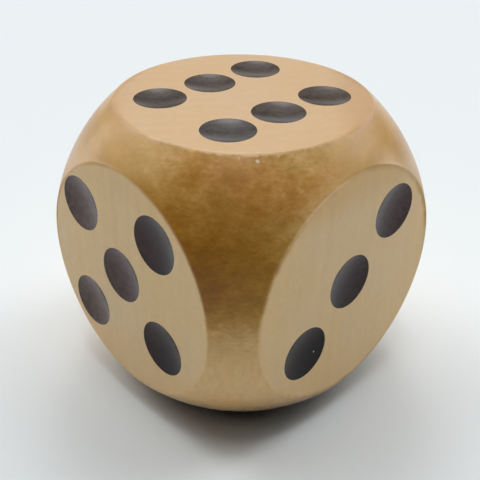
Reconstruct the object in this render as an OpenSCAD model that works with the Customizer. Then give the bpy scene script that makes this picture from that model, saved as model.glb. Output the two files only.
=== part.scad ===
// Wooden die: one turned and flattened block of hardwood.
// Six round flat faces on a ball-cornered cube, with a shallow painted
// dish for every pip. Opposite faces add up to seven, and 1, 2 and 3 run
// anticlockwise round the corner that they share.
//
// Frame: origin in the middle of the face that the die rests on, +Z up.
// 6 faces up, 1 faces down, 5 faces -Y, 2 faces +Y, 3 faces +X, 4 faces -X.

/* [Block] */
// Distance between opposite flat faces
size = 40; // [25:1:80]
// Diameter of the ball that rounds the corners, as a multiple of the size
ball_ratio = 1.275; // [1.2:0.005:1.34]
// Radius rolled onto the edge of each flat face, as a share of the size
edge_share = 0.014; // [0.004:0.002:0.02]
// How far the corner rounding sits off the block's middle, towards the 3
ball_off_x = 0.3; // [-0.4:0.1:0.4]
// How far the corner rounding sits off the block's middle, towards the 2
ball_off_y = 0.1; // [-0.4:0.1:0.4]
// How far the corner rounding sits off the block's middle, towards the 6
ball_off_z = 0.6; // [-0.8:0.1:0.8]

/* [Pips] */
// Rim diameter of the pips on faces 1 to 5, as a share of the size
pip_share = 0.185; // [0.12:0.005:0.2]
// Rim diameter of the pips on face 6, as a share of the size
pip_share_6 = 0.17; // [0.12:0.005:0.19]
// Radius of the ball cutter that sinks every pip, as a share of the size
dish_share = 0.32; // [0.15:0.01:0.5]
// Distance from a face's middle line to its corner pips, as a share of the size
grid_share = 0.1875; // [0.15:0.0025:0.2]
// Distance from the middle line to each row of the 6, as a share of the size
six_row_share = 0.1625; // [0.13:0.0025:0.18]
// Pitch of the three pips in a row of the 6, as a share of the size
six_pitch_share = 0.2075; // [0.19:0.0025:0.22]

/* [Pattern placing] */
// The 6: shift along X, as a share of the size
six_x = 0.008; // [-0.02:0.001:0.02]
// The 6: turn of the pattern on its face, in degrees
six_turn = -1.2; // [-5:0.1:5]
// The 5: shift along X, as a share of the size
five_x = -0.015; // [-0.03:0.001:0.03]
// The 5: shift along Z, as a share of the size
five_z = 0.029; // [-0.03:0.001:0.03]
// The 5: turn of the pattern on its face, in degrees
five_turn = 2.4; // [-5:0.1:5]
// The 3: shift along Y, as a share of the size
three_y = 0.004; // [-0.03:0.001:0.03]
// The 3: shift along Z, as a share of the size
three_z = 0.032; // [-0.035:0.001:0.035]
// The 3: turn of the pattern on its face, in degrees
three_turn = -1.5; // [-5:0.1:5]

/* [Hidden] */
half = size / 2;
ball_r = size * ball_ratio / 2;
edge_r = size * edge_share;
ball_c = [ball_off_x, ball_off_y, ball_off_z];
dish_r = size * dish_share;
grid = size * grid_share;
row6 = size * six_row_share;
pitch6 = size * six_pitch_share;
wood = "#d3ac76";
paint = "#4b4645";
$fn = 96;

// Pip places of each face, in the face's own x and y
pips_1 = [[0, 0]];
pips_2 = [[-grid, grid], [grid, -grid]];
pips_3 = [[-grid, -grid], [0, 0], [grid, grid]];
pips_4 = [for (u = [-1, 1], v = [-1, 1]) [u * grid, v * grid]];
pips_5 = concat(pips_4, pips_1);
pips_6 = [for (u = [-1, 1], v = [-1, 0, 1]) [u * row6, v * pitch6]];

// Section of what is taken off to roll one flat's edge over. The rolled
// edge is an arc that leaves the flat and meets the ball without a step.
// h is the height of the flat above the ball's centre.
module edge_waste(h) {
    cy = h - edge_r;
    cx = sqrt(pow(ball_r - edge_r, 2) - cy * cy);
    out = (ball_r + 1) / (ball_r - edge_r);
    difference() {
        polygon([[cx, cy], [cx, h + 3], [cx * out, h + 3], [cx * out, cy * out]]);
        translate([cx, cy]) circle(edge_r);
    }
}

// The edge roll round the flat that lies in direction +Z of the ball
module edge_roll(h) {
    rotate_extrude() edge_waste(h);
}

// One pip: the ball cutter, sunk until its rim reaches the wanted width.
// The dish that it leaves is painted.
module dish(rim_d) {
    rim_r = rim_d / 2;
    color(paint)
    translate([0, 0, sqrt(dish_r * dish_r - rim_r * rim_r)]) sphere(dish_r);
}

// All pips of one face. The face's plane is z = 0 here and the wood is
// below it; the pattern is turned and shifted on the face as it was drilled.
module face_pips(places, rim_d, shift = [0, 0], turn = 0) {
    translate([shift[0], shift[1], 0]) rotate([0, 0, turn])
        for (p = places) translate([p[0], p[1], 0]) dish(rim_d);
}

// Ball-cornered cube about its own middle, with every flat's edge rolled
module block() {
    difference() {
        intersection() {
            cube(size, center = true);
            translate(ball_c) sphere(ball_r);
        }
        translate(ball_c) {
            edge_roll(half - ball_off_z);
            rotate([180, 0, 0]) edge_roll(half + ball_off_z);
            rotate([0, 90, 0]) edge_roll(half - ball_off_x);
            rotate([0, -90, 0]) edge_roll(half + ball_off_x);
            rotate([-90, 0, 0]) edge_roll(half - ball_off_y);
            rotate([90, 0, 0]) edge_roll(half + ball_off_y);
        }
    }
}

module die_block() {
    translate([0, 0, half])
    difference() {
        color(wood) block();
        // 6 on +Z
        translate([0, 0, half])
            face_pips(pips_6, size * pip_share_6, [size * six_x, 0], six_turn);
        // 1 on -Z
        rotate([180, 0, 0]) translate([0, 0, half])
            face_pips(pips_1, size * pip_share);
        // 5 on -Y: face x is +X, face y is +Z
        rotate([90, 0, 0]) translate([0, 0, half])
            face_pips(pips_5, size * pip_share,
                      [size * five_x, size * five_z], five_turn);
        // 2 on +Y: face x is -X, face y is +Z
        rotate([0, 0, 180]) rotate([90, 0, 0]) translate([0, 0, half])
            face_pips(pips_2, size * pip_share);
        // 3 on +X: face x is +Y, face y is +Z
        rotate([0, 0, 90]) rotate([90, 0, 0]) translate([0, 0, half])
            face_pips(pips_3, size * pip_share,
                      [size * three_y, size * three_z], three_turn);
        // 4 on -X: face x is -Y, face y is +Z
        rotate([0, 0, -90]) rotate([90, 0, 0]) translate([0, 0, half])
            face_pips(pips_4, size * pip_share);
    }
}

die_block();
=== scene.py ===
import bpy
import bmesh
import math
from mathutils import Vector, Matrix
from mathutils.geometry import delaunay_2d_cdt


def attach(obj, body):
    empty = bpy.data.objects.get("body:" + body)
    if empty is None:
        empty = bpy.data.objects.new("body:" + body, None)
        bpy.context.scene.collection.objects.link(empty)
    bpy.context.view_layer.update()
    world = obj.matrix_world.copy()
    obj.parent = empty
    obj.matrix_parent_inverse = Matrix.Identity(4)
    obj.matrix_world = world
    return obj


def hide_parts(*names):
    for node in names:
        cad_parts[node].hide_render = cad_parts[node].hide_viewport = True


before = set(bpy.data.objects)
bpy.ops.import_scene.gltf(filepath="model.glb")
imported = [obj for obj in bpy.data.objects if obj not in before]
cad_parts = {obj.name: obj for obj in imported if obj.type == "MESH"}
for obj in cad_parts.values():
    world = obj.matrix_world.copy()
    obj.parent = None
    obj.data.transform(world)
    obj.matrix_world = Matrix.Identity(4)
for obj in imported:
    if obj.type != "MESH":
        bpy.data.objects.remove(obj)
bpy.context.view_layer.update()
scene = bpy.context.scene
scene.view_settings.view_transform = "Standard"

MM = 0.001

# ---------------------------------------------------------------- sizes
# The same construction as the CAD block, in millimetres from the die's middle.
HALF = 20.0
BALL_R = 25.5
EDGE_R = 0.56
BALL_C = Vector((0.3, 0.1, 0.6))
DISH_R = 12.8
PIP_R = 3.7
PIP_R6 = 3.4
GRID = 7.5
ROW6 = 6.5
PITCH6 = 8.3
RIM_ROLL = 0.12

PAT4 = [(u * GRID, v * GRID) for u in (-1, 1) for v in (-1, 1)]
# face: normal, face x, face y, pip places, rim radius, shift, turn in degrees
FACES = [
    ("six", (0, 0, 1), (1, 0, 0), (0, 1, 0), [(u * ROW6, v * PITCH6) for u in (-1, 1) for v in (-1, 0, 1)], PIP_R6, (0.32, 0.0), -1.2),
    ("one", (0, 0, -1), (1, 0, 0), (0, -1, 0), [(0.0, 0.0)], PIP_R, (0.0, 0.0), 0.0),
    ("five", (0, -1, 0), (1, 0, 0), (0, 0, 1), PAT4 + [(0.0, 0.0)], PIP_R, (-0.60, 1.16), 2.4),
    ("two", (0, 1, 0), (-1, 0, 0), (0, 0, 1), [(-GRID, GRID), (GRID, -GRID)], PIP_R, (0.0, 0.0), 0.0),
    ("three", (1, 0, 0), (0, 1, 0), (0, 0, 1), [(-GRID, -GRID), (0.0, 0.0), (GRID, GRID)], PIP_R, (0.16, 1.28), -1.5),
    ("four", (-1, 0, 0), (0, -1, 0), (0, 0, 1), PAT4, PIP_R, (0.0, 0.0), 0.0),
]

N_AROUND = 192          # points round each flat, a multiple of 8
N_BALL = 14             # rings from a flat's edge to the ball's cell border
N_ROLL = 8              # steps across the rolled edge
N_PIP = 72              # points round a pip
N_DISH = 10             # rings down a dish


def edge_radius(face_no, a):
    """Radius of the rolled edge at angle a round a flat: hand sanding leaves it a little uneven."""
    p = face_no * 1.7
    w = 0.5 * math.sin(2 * a + p) + 0.3 * math.sin(5 * a + 2.1 * p) + 0.2 * math.sin(11 * a + 3.7 * p)
    return EDGE_R * (1.0 + 0.25 * w)


def build_die():
    bm = bmesh.new()
    centre = Vector((0, 0, HALF))

    pip_layer = bm.verts.layers.float.new("pip")    # 0 in a pip's middle, 1 at its rim, 3 on the wood

    def vert(p, pip=3.0):
        v = bm.verts.new((centre + p) * MM)
        v[pip_layer] = pip
        return v

    wood_faces = []
    paint_faces = []
    n_side = N_AROUND // 4
    border = []
    for side in range(4):
        for k in range(n_side):
            s = -1.0 + 2.0 * k / n_side
            t = math.tan(math.pi / 4 * s)
            border.append([(1.0, t), (-t, 1.0), (-1.0, -t), (t, -1.0)][side])

    for no, (name, n, u, v, places, rim, shift, turn) in enumerate(FACES):
        n, u, v = Vector(n), Vector(u), Vector(v)
        h = HALF - BALL_C.dot(n)
        angle = [math.atan2(b, a) for a, b in border]
        rings = []
        # cell border in to the rolled edge, on the ball
        edge = [edge_radius(no, a) for a in angle]
        ctr = [(math.sqrt((BALL_R - e) ** 2 - (h - e) ** 2), h - e) for e in edge]
        for r in range(N_BALL + 1):
            ring = []
            for j, (a, b) in enumerate(border):
                outer = math.hypot(a, b)
                inner = ctr[j][0] / ctr[j][1]
                f = (r / N_BALL) ** 0.9
                g = outer + (inner - outer) * f
                d = (n + (u * math.cos(angle[j]) + v * math.sin(angle[j])) * g).normalized()
                ring.append(vert(BALL_C + d * BALL_R))
            rings.append(ring)
        # across the rolled edge, from the ball to the flat
        for r in range(1, N_ROLL + 1):
            ring = []
            for j in range(N_AROUND):
                full = math.atan2(ctr[j][0], ctr[j][1])
                t = full * (1 - r / N_ROLL)
                rad = ctr[j][0] + edge[j] * math.sin(t)
                hgt = ctr[j][1] + edge[j] * math.cos(t)
                ring.append(vert(BALL_C + n * hgt + (u * math.cos(angle[j]) + v * math.sin(angle[j])) * rad))
            rings.append(ring)
        # a narrow guard ring keeps the flat's shading flat
        flat_c = BALL_C - n * BALL_C.dot(n)
        ring, flat_xy = [], []
        for j in range(N_AROUND):
            rad = ctr[j][0] - 0.03
            p = BALL_C + n * h + (u * math.cos(angle[j]) + v * math.sin(angle[j])) * rad
            ring.append(vert(p))
            flat_xy.append((p.dot(u), p.dot(v)))
        rings.append(ring)
        for a, b in zip(rings, rings[1:]):
            for j in range(N_AROUND):
                k = (j + 1) % N_AROUND
                wood_faces.append(bm.faces.new((a[j], a[k], b[k], b[j])))

        # pips
        pts = list(flat_xy)
        verts = list(rings[-1])
        edges = [(j, (j + 1) % N_AROUND) for j in range(N_AROUND)]
        holes = []
        ct, st = math.cos(math.radians(turn)), math.sin(math.radians(turn))
        zc = math.sqrt(DISH_R ** 2 - rim ** 2)
        roll_x = math.sqrt((DISH_R + RIM_ROLL) ** 2 - (zc + RIM_ROLL) ** 2)
        roll_full = math.atan2(roll_x, zc + RIM_ROLL)
        for px, py in places:
            cx = shift[0] + px * ct - py * st
            cy = shift[1] + px * st + py * ct
            # profile from the flat in to the middle: (radius, depth)
            prof = [(roll_x + 0.03, 0.0)]
            for r in range(4):
                t = roll_full * r / 3
                prof.append((roll_x - RIM_ROLL * math.sin(t), -RIM_ROLL + RIM_ROLL * math.cos(t)))
            a0 = math.asin(prof[-1][0] / DISH_R)
            for r in range(1, N_DISH):
                t = a0 * (1 - r / N_DISH)
                prof.append((DISH_R * math.sin(t), zc - DISH_R * math.cos(t)))
            dish_rings = []
            for rad, dep in prof:
                ring = []
                for j in range(N_PIP):
                    a = 2 * math.pi * j / N_PIP
                    p = u * (cx + rad * math.cos(a)) + v * (cy + rad * math.sin(a)) + n * (HALF + dep)
                    ring.append(vert(p, rad / roll_x))
                dish_rings.append(ring)
            bottom = vert(u * cx + v * cy + n * (HALF + zc - DISH_R), 0.0)
            for i, (a, b) in enumerate(zip(dish_rings, dish_rings[1:])):
                for j in range(N_PIP):
                    k = (j + 1) % N_PIP
                    f = bm.faces.new((a[j], a[k], b[k], b[j]))
                    (wood_faces if i == 0 else paint_faces).append(f)
            last = dish_rings[-1]
            for j in range(N_PIP):
                paint_faces.append(bm.faces.new((last[j], last[(j + 1) % N_PIP], bottom)))
            base = len(pts)
            for j in range(N_PIP):
                a = 2 * math.pi * j / N_PIP
                pts.append((cx + prof[0][0] * math.cos(a), cy + prof[0][0] * math.sin(a)))
                verts.append(dish_rings[0][j])
                edges.append((base + j, base + (j + 1) % N_PIP))
            holes.append((cx, cy, prof[0][0]))
        # loose points over the flat keep its triangles well shaped
        fx, fy = flat_c.dot(u), flat_c.dot(v)
        step = 0.95
        rmin = min(c[0] for c in ctr) - 0.1
        k = int(rmin / step) + 2
        loose = []
        for iy in range(-k, k + 1):
            for ix in range(-k, k + 1):
                x = fx + (ix + 0.5 * (iy % 2)) * step
                y = fy + iy * step * 0.866
                if math.hypot(x - fx, y - fy) > rmin - 0.45:
                    continue
                if any(math.hypot(x - hx, y - hy) < hr + 0.4 for hx, hy, hr in holes):
                    continue
                loose.append((x, y))
        for x, y in loose:
            pts.append((x, y))
            verts.append(vert(u * x + v * y + n * HALF))
        out = delaunay_2d_cdt([Vector(p) for p in pts], edges, [], 0, 1e-5)
        new_pts, _, tris, orig = out[0], out[1], out[2], out[3]
        index = [o[0] for o in orig]
        for tri in tris:
            x = sum(new_pts[i][0] for i in tri) / 3
            y = sum(new_pts[i][1] for i in tri) / 3
            if any(math.hypot(x - hx, y - hy) < hr * 0.999 for hx, hy, hr in holes):
                continue
            wood_faces.append(bm.faces.new([verts[index[i]] for i in tri]))

    for f in wood_faces:
        f.material_index = 0
    for f in paint_faces:
        f.material_index = 1
    bmesh.ops.remove_doubles(bm, verts=bm.verts, dist=2e-6)
    bmesh.ops.recalc_face_normals(bm, faces=bm.faces)
    for f in bm.faces:
        f.smooth = True
    open_edges = sum(1 for e in bm.edges if len(e.link_faces) != 2)
    tri_count = sum(len(f.verts) - 2 for f in bm.faces)
    print("die mesh: tris", tri_count, "open edges", open_edges, "volume mm3", bm.calc_volume() * 1e9)
    mesh = bpy.data.meshes.new("die_body")
    bm.to_mesh(mesh)
    bm.free()
    obj = bpy.data.objects.new("die_body", mesh)
    scene.collection.objects.link(obj)
    return obj


die = build_die()


# ---------------------------------------------------------------- materials
class Tree:
    """A small helper for node trees: each call adds a node and returns its output socket."""

    def __init__(self, name):
        self.mat = bpy.data.materials.new(name)
        self.mat.use_nodes = True
        self.nt = self.mat.node_tree
        self.nt.nodes.clear()
        self.out = self.nt.nodes.new("ShaderNodeOutputMaterial")

    def put(self, socket, value):
        if isinstance(value, bpy.types.NodeSocket):
            self.nt.links.new(value, socket)
        elif isinstance(value, (tuple, list)) and len(value) == 3 and socket.type == "RGBA":
            socket.default_value = (*value, 1.0)
        else:
            socket.default_value = value

    def coord(self):
        """Object coordinates in millimetres."""
        n = self.nt.nodes.new("ShaderNodeTexCoord")
        return self.vec("SCALE", n.outputs["Object"], scale=1000.0)

    def vec(self, op, a, b=None, scale=None):
        n = self.nt.nodes.new("ShaderNodeVectorMath")
        n.operation = op
        self.put(n.inputs[0], a)
        if b is not None:
            self.put(n.inputs[1], b)
        if scale is not None:
            self.put(n.inputs["Scale"], scale)
        return n.outputs["Value"] if op in ("LENGTH", "DOT_PRODUCT", "DISTANCE") else n.outputs["Vector"]

    def xyz(self, v):
        n = self.nt.nodes.new("ShaderNodeSeparateXYZ")
        self.put(n.inputs[0], v)
        return n.outputs[0], n.outputs[1], n.outputs[2]

    def join(self, x, y, z):
        n = self.nt.nodes.new("ShaderNodeCombineXYZ")
        for s, v in zip(n.inputs, (x, y, z)):
            self.put(s, v)
        return n.outputs[0]

    def math(self, op, a, b=None, c=None, clamp=False):
        n = self.nt.nodes.new("ShaderNodeMath")
        n.operation = op
        n.use_clamp = clamp
        self.put(n.inputs[0], a)
        if b is not None:
            self.put(n.inputs[1], b)
        if c is not None:
            self.put(n.inputs[2], c)
        return n.outputs[0]

    def ramp(self, v, a, b, lo=0.0, hi=1.0, smooth=True):
        """v from a to b becomes lo to hi, and is held beyond."""
        n = self.nt.nodes.new("ShaderNodeMapRange")
        n.interpolation_type = "SMOOTHSTEP" if smooth else "LINEAR"
        n.clamp = True
        self.put(n.inputs["Value"], v)
        n.inputs["From Min"].default_value = a
        n.inputs["From Max"].default_value = b
        n.inputs["To Min"].default_value = lo
        n.inputs["To Max"].default_value = hi
        return n.outputs["Result"]

    def curve(self, v, points):
        """A smooth curve through (value, result) points, with results from 0 to 1."""
        lo, hi = points[0][0], points[-1][0]
        n = self.nt.nodes.new("ShaderNodeFloatCurve")
        m = n.mapping.curves[0]
        pts = [((x - lo) / (hi - lo), y) for x, y in points]
        m.points[0].location = pts[0]
        m.points[1].location = pts[-1]
        for p in pts[1:-1]:
            m.points.new(*p)
        n.mapping.update()
        self.put(n.inputs["Value"], self.ramp(v, lo, hi, smooth=False))
        return n.outputs[0]

    def noise(self, v, scale, detail=2.0, rough=0.5, distort=0.0, stretch=None, seed=0.0):
        if stretch is not None:
            v = self.vec("MULTIPLY", v, stretch)
        if seed:
            v = self.vec("ADD", v, (seed, seed * 0.7, seed * 1.3))
        n = self.nt.nodes.new("ShaderNodeTexNoise")
        n.inputs["Scale"].default_value = scale
        n.inputs["Detail"].default_value = detail
        n.inputs["Roughness"].default_value = rough
        n.inputs["Distortion"].default_value = distort
        self.put(n.inputs["Vector"], v)
        return n.outputs["Fac"]

    def cells(self, v, scale, stretch=None, random=1.0, feature="F1"):
        if stretch is not None:
            v = self.vec("MULTIPLY", v, stretch)
        n = self.nt.nodes.new("ShaderNodeTexVoronoi")
        n.feature = feature
        n.inputs["Scale"].default_value = scale
        n.inputs["Randomness"].default_value = random
        self.put(n.inputs["Vector"], v)
        return n.outputs["Distance"]

    def spot(self, v, centre, size):
        """1 in the middle of a small blob, 0 outside it."""
        d = self.vec("MULTIPLY", self.vec("SUBTRACT", v, centre), tuple(1.0 / c for c in size))
        return self.ramp(self.vec("LENGTH", d), 0.55, 1.0, 1.0, 0.0)

    def mix(self, fac, a, b, kind="MIX"):
        n = self.nt.nodes.new("ShaderNodeMix")
        n.data_type = "RGBA"
        n.blend_type = kind
        self.put(n.inputs[0], fac)
        self.put(n.inputs[6], a)
        self.put(n.inputs[7], b)
        return n.outputs[2]

    def scale_colour(self, colour, f):
        """Colour times a number."""
        return self.mix(1.0, colour, self.join(f, f, f), "MULTIPLY")

    def bump(self, height, distance, strength=1.0, normal=None):
        n = self.nt.nodes.new("ShaderNodeBump")
        n.inputs["Strength"].default_value = strength
        n.inputs["Distance"].default_value = distance
        self.put(n.inputs["Height"], height)
        if normal is not None:
            self.put(n.inputs["Normal"], normal)
        return n.outputs[0]

    def attribute(self, name):
        n = self.nt.nodes.new("ShaderNodeAttribute")
        n.attribute_name = name
        return n.outputs["Fac"]

    def principled(self, colour, rough, normal=None, **uniform):
        n = self.nt.nodes.new("ShaderNodeBsdfPrincipled")
        self.put(n.inputs["Base Color"], colour)
        self.put(n.inputs["Roughness"], rough)
        if normal is not None:
            self.put(n.inputs["Normal"], normal)
        for key, value in uniform.items():
            n.inputs[key].default_value = value
        self.nt.links.new(n.outputs[0], self.out.inputs[0])
        return n


SIDE_COLOUR = (0.715, 0.495, 0.238)
END_COLOUR = (0.655, 0.439, 0.237)
CORNER_COLOUR = (0.700, 0.428, 0.146)       # the turned corners, thinly stained
LOW_COLOUR = (0.765, 0.482, 0.192)          # the same, below the band of stain and painted shade
STAIN = (0.43, 0.276, 0.068)                # what one full coat of stain lets through


def around_one(t, noise, amount):
    """A noise of 0 to 1 as a factor close to one."""
    return t.math("MULTIPLY_ADD", t.math("SUBTRACT", noise, 0.5), amount, 1.0)


def wood_material():
    t = Tree("die_varnish")
    p = t.coord()
    q = t.vec("SUBTRACT", p, (BALL_C.x, BALL_C.y, BALL_C.z + HALF))
    r = t.vec("LENGTH", q)
    px, py, pz = t.xyz(p)
    # the flats were sanded after the corners were stained, so the colour feathers out over each crease
    far_side = t.vec("DOT_PRODUCT", q, (0.7071, 0.7071, 0.0))
    ends = t.math("ADD", t.ramp(far_side, 7.0, 15.0, 0.0, 0.7), t.ramp(far_side, -15.0, -7.0, 0.5, 0.0))
    over = t.math("MULTIPLY", t.ramp(pz, 39.0, 39.9), ends)
    feather = t.math("ADD", t.ramp(py, -19.9, -18.5, 0.32, 0.08), t.ramp(px, 18.0, 19.9, 0.0, 0.45))
    feather = t.math("ADD", feather, over)
    ragged = t.math("MULTIPLY", t.math("SUBTRACT", t.noise(p, 0.55, 3.0, 0.5, seed=13.0), 0.5), feather)
    edge = t.math("ADD", t.math("SUBTRACT", r, BALL_R - 0.03), ragged)
    ball = t.ramp(t.math("DIVIDE", edge, feather), -1.0, 0.0)
    # on the nearest corner the upper crease is worn pale, unevenly, with a painted highlight along it
    across = t.vec("DOT_PRODUCT", q, (0.7071, 0.7071, 0.0))
    lip_wear_highlight = t.math("MULTIPLY_ADD", t.math("SUBTRACT", t.noise(p, 0.9, 3.0, 0.55, seed=21.0), 0.5), 0.9, pz)
    near = t.ramp(t.math("ABSOLUTE", t.math("ADD", across, 0.6)), 3.0, 8.0, 1.0, 0.0)
    lip_wear_highlight = t.math("MULTIPLY", t.ramp(lip_wear_highlight, 39.62, 39.84), near)
    # painted glints: three small pale spots just under the upper crease
    rim_glints = t.math("MAXIMUM", t.math("MULTIPLY", t.spot(p, (12.25, -12.00, 39.55), (0.20, 0.20, 0.50)), 0.45), t.spot(p, (13.82, -10.68, 39.32), (0.34, 0.26, 0.26)))
    rim_glints = t.math("MAXIMUM", rim_glints, t.math("MULTIPLY", t.spot(p, (13.35, -11.15, 39.78), (0.45, 0.45, 0.22)), 0.5))
    lip_wear_highlight = t.math("MULTIPLY", lip_wear_highlight, t.ramp(pz, 39.97, 39.99, 1.0, 0.0))

    # ---- the sanded round faces: straight grain up the sides, end grain above and below
    up = t.ramp(t.math("ABSOLUTE", t.math("SUBTRACT", pz, HALF)), 19.2, 19.9)
    bands = t.noise(p, 1.0, 3.0, 0.55, 0.3, (0.55, 0.55, 0.035))
    fine = t.noise(p, 1.0, 3.0, 0.6, 0.0, (3.2, 3.2, 0.16), seed=7.3)
    mid = t.noise(p, 0.9, 3.0, 0.55, 0.3, seed=9.0)
    broad = t.noise(p, 0.085, 2.0, 0.5, 0.6, seed=3.1)
    side = t.math("MULTIPLY", around_one(t, bands, 0.16), around_one(t, fine, 0.06))
    ring = t.vec("LENGTH", t.vec("MULTIPLY", t.vec("SUBTRACT", p, (-62.0, 38.0, 0.0)), (1.0, 1.0, 0.0)))
    ring = t.math("ADD", ring, t.math("MULTIPLY", t.noise(p, 0.12, 2.0, 0.5, seed=11.0), 2.4))
    rings = t.math("MULTIPLY_ADD", t.math("SINE", t.math("MULTIPLY", ring, 2.6)), 0.010, 1.0)
    pores = t.noise(p, 2.2, 4.0, 0.65, 0.0, seed=5.0)
    end = t.math("MULTIPLY", rings, around_one(t, pores, 0.10))
    tone = t.math("MULTIPLY_ADD", up, t.math("SUBTRACT", end, side), side)
    tone = t.math("MULTIPLY", tone, around_one(t, mid, 0.12))
    tint = t.mix(t.ramp(broad, 0.34, 0.66), (1.01, 0.985, 0.93), (1.0, 1.015, 1.07))
    flat = t.mix(1.0, t.mix(up, SIDE_COLOUR, END_COLOUR), tint, "MULTIPLY")
    flat = t.scale_colour(flat, t.math("MULTIPLY", tone, t.ramp(t.math("ABSOLUTE", far_side), 14.0, 24.0, 1.0, 1.055)))
    sides = t.math("SUBTRACT", 1.0, up)
    tops = t.math("MULTIPLY", t.ramp(pz, 30.5, 34.5), t.ramp(px, 17.0, 19.5, 0.35, 1.0))
    flat = t.mix(t.math("MULTIPLY", tops, sides), flat, t.mix(1.0, flat, (0.94, 0.88, 0.78), "MULTIPLY"))
    flat = t.mix(t.math("MULTIPLY", t.ramp(pz, 8.0, 14.0, 1.0, 0.0), sides), flat, t.mix(1.0, flat, (1.025, 0.985, 0.93), "MULTIPLY"))
    bleed = t.math("MULTIPLY", t.math("MULTIPLY", t.ramp(r, 24.75, 25.40), t.ramp(px, 19.3, 19.9)), t.math("MULTIPLY", t.ramp(pz, 26.0, 33.0), t.ramp(t.math("ABSOLUTE", far_side), 11.0, 13.5, 1.0, 0.0)))
    flat = t.mix(bleed, flat, t.mix(1.0, flat, (0.88, 0.80, 0.74), "MULTIPLY"))
    # handling has darkened the two ends of the top face
    ends = t.math("ADD", t.ramp(far_side, 10.5, 14.5), t.ramp(far_side, -16.5, -13.0, 0.6, 0.0))
    ends = t.math("MULTIPLY", ends, t.ramp(pz, 39.0, 39.9))
    flat = t.mix(ends, flat, t.mix(1.0, flat, (0.90, 0.84, 0.79), "MULTIPLY"))

    # ---- the turned corners: a golden brown stain that soaked in unevenly, darkened by painted shade in a band about 22 to 34 mm up
    turn = math.radians(-8.0)
    ax = t.vec("DOT_PRODUCT", q, (math.cos(turn), math.sin(turn), 0.0))
    ay = t.vec("DOT_PRODUCT", q, (-math.sin(turn), math.cos(turn), 0.0))
    round_ = t.math("DIVIDE", t.math("MULTIPLY", t.math("ABSOLUTE", t.math("MULTIPLY", ax, ay)), 2.0),
                    t.math("ADD", t.math("MULTIPLY", ax, ax), t.math("MULTIPLY", ay, ay)))
    middle = t.math("MULTIPLY_ADD", t.math("POWER", round_, 1.5), 0.8, 0.2)
    fleck = t.noise(p, 1.0, 3.0, 0.62, 0.5, (1.15, 1.15, 2.4))
    blotch = t.noise(p, 0.28, 2.0, 0.5, 0.4, (1.0, 1.0, 1.5), seed=2.0)
    patch = t.noise(p, 0.62, 2.0, 0.5, 0.3, (1.0, 1.0, 1.4), seed=6.0)
    streak = t.noise(p, 1.0, 3.0, 0.6, 0.2, (1.5, 1.5, 0.30), seed=4.0)
    # stain strength by height; the dark band about 22 to 34 mm up is partly stain and partly painted shade
    stain_and_shade = t.curve(pz, [(0.0, 0.0), (18.0, 0.0), (20.0, 0.06), (22.0, 0.23), (24.0, 0.57), (26.0, 0.85), (28.0, 0.87),
                        (30.0, 0.82), (32.0, 0.71), (34.0, 0.56), (36.0, 0.42), (38.0, 0.18), (40.0, 0.05)])
    stain_and_shade = t.math("MULTIPLY", stain_and_shade, middle)
    aside = t.math("ABSOLUTE", across)
    under = t.math("MULTIPLY", t.ramp(pz, 35.5, 38.0), t.ramp(t.math("ABSOLUTE", t.math("ADD", across, 1.0)), 2.0, 8.0, 1.0, 0.0))
    stain_and_shade = t.math("MULTIPLY_ADD", under, 0.10, stain_and_shade)
    outer = t.math("MULTIPLY", t.ramp(aside, 9.5, 13.0), t.ramp(aside, 13.5, 16.5, 1.0, 0.0))
    outer = t.math("MULTIPLY", outer, t.ramp(across, -2.0, 2.0, 1.0, 0.5))
    stain_and_shade = t.math("MULTIPLY_ADD", t.math("MULTIPLY", outer, t.ramp(pz, 36.0, 39.0)), 0.17, stain_and_shade)
    # the corners to either side took less stain high up
    thinner = t.math("MULTIPLY", t.ramp(aside, 14.0, 19.5), t.math("MULTIPLY", t.ramp(pz, 36.8, 31.5, 0.0, 1.0), t.ramp(pz, 22.0, 29.0, 0.2, 1.0)))
    stain_and_shade = t.math("MULTIPLY_ADD", thinner, -0.46, stain_and_shade)
    # lighter at the left of the near corner's top, darker at its right
    paler = t.math("MULTIPLY", t.ramp(t.math("ABSOLUTE", t.math("ADD", across, 11.5)), 1.5, 4.5, 1.0, 0.0), t.ramp(pz, 34.5, 37.0))
    stain_and_shade = t.math("MULTIPLY_ADD", paler, -0.11, stain_and_shade)
    deeper = t.math("MULTIPLY", t.ramp(t.math("ABSOLUTE", t.math("SUBTRACT", across, 9.5)), 1.5, 6.0, 1.0, 0.0), t.ramp(pz, 33.5, 36.0))
    stain_and_shade = t.math("MULTIPLY_ADD", deeper, 0.08, stain_and_shade)
    left = t.math("MULTIPLY", t.ramp(t.math("ABSOLUTE", t.math("ADD", across, 3.4)), 0.5, 2.6, 1.0, 0.0), t.math("MULTIPLY", t.ramp(pz, 22.0, 26.0), t.ramp(pz, 30.0, 34.0, 1.0, 0.0)))
    stain_and_shade = t.math("MULTIPLY_ADD", left, 0.15, stain_and_shade)
    fade = t.math("MULTIPLY", t.math("MULTIPLY", t.ramp(px, 18.3, 19.8), t.ramp(aside, 11.0, 13.5, 1.0, 0.0)), t.math("MULTIPLY", t.ramp(pz, 30.0, 33.0), t.ramp(pz, 36.0, 38.0, 1.0, 0.0)))
    stain_and_shade = t.math("MULTIPLY_ADD", fade, -0.26, stain_and_shade)
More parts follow.
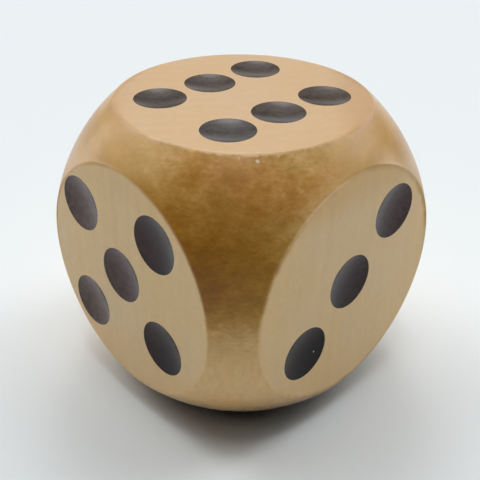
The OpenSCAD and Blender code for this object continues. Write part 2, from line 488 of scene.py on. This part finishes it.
    # the corner is a little darker just above each side face
    over_side_band = t.math("MULTIPLY", t.ramp(across, -16.5, -14.5, 1.0, 0.0), t.math("MULTIPLY", t.ramp(across, -20.5, -18.6), t.ramp(pz, 34.0, 36.0)))
    over_side_band = t.math("MAXIMUM", over_side_band, t.math("MULTIPLY", t.ramp(across, 14.0, 15.2), t.math("MULTIPLY", t.ramp(across, 16.5, 18.5, 1.0, 0.0), t.ramp(pz, 35.8, 36.6))))
    over_side_band = t.math("MULTIPLY", over_side_band, t.ramp(pz, 37.6, 38.6, 1.0, 0.0))
    stain_and_shade = t.math("MULTIPLY_ADD", over_side_band, 0.13, stain_and_shade)
    stained_and_shaded = t.ramp(pz, 16.0, 24.0)
    flecked = t.math("MULTIPLY_ADD", t.math("MULTIPLY", stained_and_shaded, t.ramp(aside, 6.0, 13.0, 1.0, 0.04)), 0.94, 0.21)
    uneven = t.math("MULTIPLY", t.math("SUBTRACT", fleck, 0.5), 0.62)
    uneven = t.math("MULTIPLY_ADD", t.math("SUBTRACT", patch, 0.5), 0.46, uneven)
    uneven = t.math("MULTIPLY_ADD", t.math("SUBTRACT", blotch, 0.5), 0.46, uneven)
    stain_and_shade = t.math("MULTIPLY_ADD", uneven, flecked, stain_and_shade)
    low = t.ramp(pz, 15.0, 23.0, 1.0, 0.0)
    stain_and_shade = t.math("MULTIPLY_ADD", t.math("MULTIPLY", t.math("SUBTRACT", streak, 0.5), low), 0.28, stain_and_shade)
    stain_and_shade = t.math("MAXIMUM", stain_and_shade, -0.10)
    through = t.join(*[t.math("POWER", c, stain_and_shade) for c in STAIN])
    corner = t.mix(t.ramp(pz, 16.0, 22.0), LOW_COLOUR, CORNER_COLOUR)
    corner = t.mix(1.0, corner, through, "MULTIPLY")
    # a little redder to one side of each corner and greener to the other
    hue = t.mix(t.ramp(across, -6.0, 6.0), (0.99, 0.95, 0.86), (1.005, 1.065, 1.27))
    corner = t.mix(t.math("MULTIPLY", stained_and_shaded, t.ramp(pz, 32.0, 38.0, 0.9, 0.2)), corner, t.mix(1.0, corner, hue, "MULTIPLY"))
    # the same band made more saturated: partly stain, partly painted shade
    rich = t.curve(pz, [(0.0, 0.0), (20.0, 0.0), (22.0, 0.10), (24.0, 0.50), (26.0, 0.80), (28.0, 0.76), (30.0, 0.50), (32.0, 0.16), (34.0, 0.0), (40.0, 0.0)])
    rich = t.math("MULTIPLY", rich, t.ramp(stain_and_shade, 0.10, 0.50))
    corner = t.mix(rich, corner, t.mix(1.0, corner, (1.0, 1.0, 0.12), "MULTIPLY"))
    under = t.math("MULTIPLY", under, t.ramp(t.math("SUBTRACT", px, py), -10.0, 10.0, 0.25, 1.0))
    corner = t.mix(under, corner, t.mix(1.0, corner, (1.0, 0.87, 0.72), "MULTIPLY"))
    ruddy = t.math("MULTIPLY", t.math("MULTIPLY", t.ramp(across, -2.0, 2.0), t.ramp(across, 10.0, 13.0, 1.0, 0.0)), t.math("MULTIPLY", t.ramp(pz, 33.5, 35.0), t.ramp(pz, 37.5, 38.8, 1.0, 0.0)))
    corner = t.mix(ruddy, corner, t.mix(1.0, corner, (1.06, 0.985, 1.0), "MULTIPLY"))
    shoulders = t.math("MULTIPLY", t.math("MULTIPLY", t.ramp(aside, 8.5, 10.5), t.ramp(aside, 12.5, 15.0, 1.0, 0.0)), t.math("MULTIPLY", t.ramp(pz, 36.0, 37.2), t.ramp(pz, 38.7, 39.4, 1.0, 0.0)))
    corner = t.mix(shoulders, corner, t.mix(1.0, corner, (1.025, 1.05, 1.22), "MULTIPLY"))
    # painted light: a paler band about 5 to 11 mm up the corners stands in for light and reflection from the floor
    floor_bounce_light = t.math("MULTIPLY", t.ramp(pz, 4.5, 6.5), t.ramp(pz, 8.0, 11.5, 1.0, 0.0))
    corner = t.mix(floor_bounce_light, corner, t.mix(1.0, corner, (1.08, 1.02, 0.97), "MULTIPLY"))
    pale = t.math("MULTIPLY", t.ramp(aside, 15.0, 21.0), t.math("MULTIPLY", t.ramp(pz, 36.5, 33.0, 0.0, 1.0), t.ramp(pz, 24.0, 30.0)))
    corner = t.mix(pale, corner, t.mix(1.0, corner, (0.97, 1.03, 1.45), "MULTIPLY"))
    tips = t.math("MULTIPLY", t.math("ADD", t.ramp(across, 11.0, 14.5), t.ramp(across, -15.0, -12.0, 0.6, 0.0)), t.ramp(pz, 37.5, 39.2))
    corner = t.mix(tips, corner, t.mix(1.0, corner, (0.92, 0.89, 1.0), "MULTIPLY"))
    rim = t.math("MULTIPLY", t.ramp(aside, 5.0, 9.5), t.ramp(pz, 39.55, 39.85))
    corner = t.mix(rim, corner, t.mix(1.0, corner, (0.975, 1.01, 1.38), "MULTIPLY"))
    # painted shade: the corners darken towards the floor, standing in for the shadow where the die meets it
    lean = t.math("MULTIPLY", t.math("MULTIPLY_ADD", t.math("MAXIMUM", across, 0.0), -0.08, t.math("MULTIPLY", across, -0.20)), t.ramp(across, 8.0, 13.5, 1.0, 0.0))
    base_shade = t.math("ADD", lean, t.math("ADD", pz, 0.3))
    base_shade = t.math("MULTIPLY_ADD", t.ramp(pz, 9.0, 13.0), t.math("SUBTRACT", pz, base_shade), base_shade)
    corner = t.scale_colour(corner, t.curve(base_shade, [(0.0, 0.20), (2.0, 0.28), (3.0, 0.36), (4.0, 0.45), (5.0, 0.56), (6.0, 0.68), (8.0, 0.80),
                                                 (10.0, 0.91), (13.0, 0.98), (16.0, 0.97), (19.0, 0.97), (40.0, 1.0)]))

    colour = t.mix(ball, flat, corner)
    # painted shade: the rolled edge just above each side face is darkened a little
    shelf_shade = t.math("MULTIPLY", t.ramp(t.math("MAXIMUM", px, t.math("MULTIPLY", py, -1.0)), 18.9, 19.6), t.math("MULTIPLY", t.ramp(pz, 33.0, 35.5), t.ramp(r, 25.40, 25.47)))
    shelf_shade = t.math("MULTIPLY", shelf_shade, t.ramp(aside, 17.0, 19.0, 1.0, 0.1))
    colour = t.mix(shelf_shade, colour, t.mix(1.0, colour, (0.945, 0.93, 0.905), "MULTIPLY"))
    colour = t.mix(t.math("MULTIPLY", lip_wear_highlight, 0.85), colour, (0.86, 0.61, 0.32))
    # the painted glints under the upper crease
    colour = t.mix(t.math("MULTIPLY", rim_glints, 0.8), colour, (0.92, 0.74, 0.46))

    rough = t.mix(ball, t.math("MULTIPLY_ADD", pores, 0.10, 0.30), t.math("ADD", t.math("MAXIMUM", t.math("MULTIPLY_ADD", fleck, 0.12, 0.24), 0.285), t.math("MULTIPLY", t.math("MULTIPLY", t.ramp(pz, 34.0, 28.0, 0.0, 1.0), t.ramp(pz, 15.0, 21.0)), 0.20)))
    grain_h = t.math("MULTIPLY_ADD", up, t.math("SUBTRACT", pores, fine), fine)
    height = t.mix(ball, grain_h, t.math("MULTIPLY", fleck, 1.2))
    normal = t.bump(height, 0.000012, 0.4)
    t.principled(colour, rough, normal, IOR=1.45, **{"Sheen Weight": 0.35, "Sheen Roughness": 0.22})
    return t.mat


def paint_material():
    t = Tree("pip_paint")
    p = t.coord()
    pip = t.attribute("pip")
    mottle = t.noise(p, 1.4, 3.0, 0.55)
    fine = t.noise(p, 6.0, 2.0, 0.6)
    px, py, pz = t.xyz(p)
    # the paint's tone changes from face to face and pip to pip: partly the paint itself, partly painted shade and
    # reflection
    front = t.math("SUBTRACT", px, py)
    paint_shade_tone = t.math("MULTIPLY_ADD", front, -0.0060, t.math("MULTIPLY_ADD", t.math("ADD", px, py), -0.0013, 0.166))
    paint_shade_tone = t.math("MINIMUM", t.math("MAXIMUM", paint_shade_tone, 0.010), 0.128)
    paint_shade_tone = t.math("MULTIPLY", paint_shade_tone, t.ramp(front, -5.0, 10.0, 0.4, 1.0))
    paint_shade_tone = t.math("MULTIPLY_ADD", t.math("MULTIPLY", t.ramp(front, 15.0, 20.0), t.ramp(pz, 14.0, 20.0)), 0.012, paint_shade_tone)
    up = t.ramp(pz, 37.0, 39.0)
    paint_shade_tone = t.math("MULTIPLY_ADD", up, t.math("SUBTRACT", 0.072, paint_shade_tone), paint_shade_tone)
    paint_shade_tone = t.math("MULTIPLY", paint_shade_tone, t.ramp(up, 0.0, 1.0, 0.8, 0.88))
    total = t.math("ADD", px, py)
    paint_shade_tone = t.math("MULTIPLY", paint_shade_tone, t.math("MAXIMUM", t.math("SUBTRACT", 1.0, up), t.ramp(total, -15.0, -8.0, 0.84, 1.0)))
    side_hue = t.mix(t.ramp(total, -29.0, -15.0, 1.0, 0.0), (1.0, 0.47, 0.50), (1.0, 0.64, 0.54))
    side_hue = t.mix(t.ramp(front, -8.0, 8.0), (1.0, 0.66, 0.45), side_hue)
    top_hue = t.mix(t.ramp(front, 3.0, 14.0), (1.0, 0.70, 0.52), (1.0, 0.85, 0.78))
    colour = t.scale_colour(t.mix(up, side_hue, top_hue), paint_shade_tone)
    colour = t.scale_colour(colour, t.ramp(mottle, 0.3, 0.7, 0.78, 1.22))
    edge = t.math("ADD", pip, t.math("MULTIPLY", t.math("SUBTRACT", t.noise(p, 2.3, 3.0, 0.6), 0.5), 0.06))
    colour = t.mix(t.ramp(edge, 0.985, 1.01), colour, (0.16, 0.10, 0.05))
    # a painted glint: one tiny pale spot in a pip on the three face
    colour = t.mix(t.spot(p, (19.66, -5.49, 12.98), (0.2, 0.13, 0.13)), colour, (0.55, 0.62, 0.68))
    rough = t.math("MULTIPLY_ADD", mottle, 0.14, 0.13)
    normal = t.bump(fine, 0.000006, 0.25)
    t.principled(colour, rough, normal, IOR=1.28)
    return t.mat


def floor_material():
    t = Tree("studio_floor")
    n = t.nt.nodes.new("ShaderNodeBsdfDiffuse")
    n.inputs["Color"].default_value = (0.805, 0.848, 0.868, 1)
    t.nt.links.new(n.outputs[0], t.out.inputs[0])
    return t.mat


die.data.materials.append(wood_material())
die.data.materials.append(paint_material())
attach(die, "root")
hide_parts("die_block")

# ---------------------------------------------------------------- floor
bm = bmesh.new()
bmesh.ops.create_circle(bm, cap_ends=True, cap_tris=False, segments=128, radius=3.0)
fm = bpy.data.meshes.new("floor")
bm.to_mesh(fm)
bm.free()
floor = bpy.data.objects.new("floor", fm)
scene.collection.objects.link(floor)
fm.materials.append(floor_material())

# ---------------------------------------------------------------- camera
cam_data = bpy.data.cameras.new("cam")
cam = bpy.data.objects.new("cam", cam_data)
scene.collection.objects.link(cam)
scene.camera = cam
cam_data.sensor_width = 36.0
cam_data.lens = 777.4 * 36.0 / 480.0
cam_data.clip_start = 0.005
right = Vector((0.68872, 0.72490, 0.01391))
down = Vector((0.39295, -0.35707, -0.84740))
fwd = Vector((-0.60931, 0.58909, -0.53077))
rot = Matrix((right, -down, -fwd)).transposed()
cam.matrix_world = Matrix.Translation((0.067805, -0.065342, 0.077230)) @ rot.to_4x4()

# ---------------------------------------------------------------- world
# Soft studio light: a bank of pale panels overhead, behind and to the sides.
# azimuth (0 = from -Y, 90 = from +X), elevation, outer and inner half angle in degrees, strength
PANELS = [
    (0.0, 83, 4.5, 3.0, 12.54),
    (120.0, 83, 4.5, 3.0, 7.42),
    (300.0, 83, 4.5, 3.0, 5.81),
    (45.0, 76, 4.5, 3.0, 12.06),
    (105.0, 76, 4.5, 3.0, 5.92),
    (30.0, 67, 20.0, 3.0, 0.87),
    (150.0, 67, 12.0, 2.0, 3.22),
    (300.0, 67, 12.0, 2.0, 2.11),
    (154.3, 55, 15.0, 3.0, 1.75),
    (205.7, 55, 15.0, 3.0, 2.27),
    (231.4, 55, 15.0, 3.0, 1.80),
    (257.1, 55, 15.0, 3.0, 1.19),
    (282.9, 55, 15.0, 3.0, 1.63),
    (308.6, 55, 15.0, 3.0, 1.30),
    (157.5, 42, 17.0, 3.0, 1.97),
    (225.0, 42, 17.0, 3.0, 1.04),
    (247.5, 42, 17.0, 3.0, 0.83),
    (270.0, 42, 17.0, 3.0, 0.96),
    (292.5, 42, 17.0, 3.0, 1.42),
    (160.0, 29, 17.0, 3.0, 1.91),
    (180.0, 29, 17.0, 3.0, 1.56),
    (200.0, 29, 17.0, 3.0, 0.67),
    (280.0, 29, 17.0, 3.0, 2.12),
    (230.0, 16, 16.0, 3.0, 0.49),
    (250.0, 16, 16.0, 3.0, 0.61),
    (160.0, 4, 14.0, 3.0, 5.41),
    (200.0, 4, 14.0, 3.0, 0.68),
    (220.0, 4, 14.0, 3.0, 0.49),
    (280.0, 4, 14.0, 3.0, 2.62),
    (300.0, 4, 14.0, 3.0, 3.88),
    (229.0, 54, 10.0, 4.0, 4.80),
]
LIGHT = (0.975, 0.975, 0.975)
BACKDROP = (0.835, 0.874, 0.892)


def studio_world():
    world = bpy.data.worlds.new("studio")
    scene.world = world
    world.use_nodes = True
    nt = world.node_tree
    nt.nodes.clear()
    coord = nt.nodes.new("ShaderNodeTexCoord")
    total = None
    for az, el, outer, inner, strength in PANELS:
        a, e = math.radians(az), math.radians(el)
        dot = nt.nodes.new("ShaderNodeVectorMath")
        dot.operation = "DOT_PRODUCT"
        nt.links.new(coord.outputs["Generated"], dot.inputs[0])
        dot.inputs[1].default_value = (math.sin(a) * math.cos(e), -math.cos(a) * math.cos(e), math.sin(e))
        soft = nt.nodes.new("ShaderNodeMapRange")
        soft.interpolation_type = "SMOOTHSTEP"
        soft.inputs["From Min"].default_value = math.cos(math.radians(outer))
        soft.inputs["From Max"].default_value = math.cos(math.radians(inner))
        soft.inputs["To Max"].default_value = strength
        nt.links.new(dot.outputs["Value"], soft.inputs["Value"])
        if total is None:
            total = soft.outputs["Result"]
        else:
            add = nt.nodes.new("ShaderNodeMath")
            add.operation = "ADD"
            nt.links.new(total, add.inputs[0])
            nt.links.new(soft.outputs["Result"], add.inputs[1])
            total = add.outputs[0]
    panels = nt.nodes.new("ShaderNodeBackground")
    panels.inputs["Color"].default_value = (*LIGHT, 1)
    nt.links.new(total, panels.inputs["Strength"])
    backdrop = nt.nodes.new("ShaderNodeBackground")
    backdrop.inputs["Color"].default_value = (*BACKDROP, 1)
    path = nt.nodes.new("ShaderNodeLightPath")
    mix = nt.nodes.new("ShaderNodeMixShader")
    nt.links.new(path.outputs["Is Camera Ray"], mix.inputs[0])
    nt.links.new(panels.outputs[0], mix.inputs[1])
    nt.links.new(backdrop.outputs[0], mix.inputs[2])
    out = nt.nodes.new("ShaderNodeOutputWorld")
    nt.links.new(mix.outputs[0], out.inputs[0])


studio_world()
